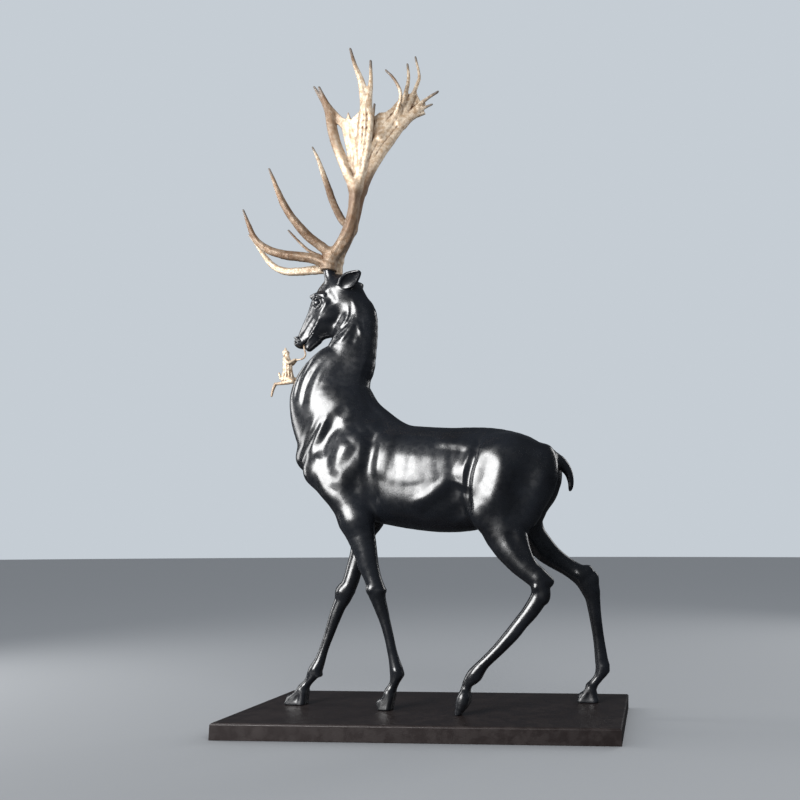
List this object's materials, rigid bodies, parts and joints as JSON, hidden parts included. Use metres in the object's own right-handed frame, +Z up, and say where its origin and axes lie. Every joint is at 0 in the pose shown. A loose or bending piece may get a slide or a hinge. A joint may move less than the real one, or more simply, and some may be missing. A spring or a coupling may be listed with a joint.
{
  "type": "deer sculpture",
  "caption": "Life-size walking fallow buck cast in dark bronze on a low plate, with tall gilded palmate antlers and a tiny gilded figure hanging from its lips.",
  "frame": {"origin": "centre of the base plate's underside", "axes": "+Z up; the deer walks towards -X, so its left side faces -Y; X runs along the base plate"},
  "size_m": [1.3392, 0.5, 2.3576],
  "materials": {
    "base_plate": "dark brown patinated bronze plate, satin",
    "deer": "near-black blue-grey patinated bronze, waxed and glossy",
    "antler_left": "pale champagne gilding over brown bronze, worn in the hollows",
    "antler_right": "pale champagne gilding over brown bronze, worn in the hollows",
    "gilded_figure": "pale gilding over brown bronze"
  },
  "bodies": {
    "root": {"base_plate": "base_plate", "deer": "deer", "antler_left": "antler_left", "antler_right": "antler_right", "gilded_figure": "gilded_figure"}
  },
  "joints": []
}
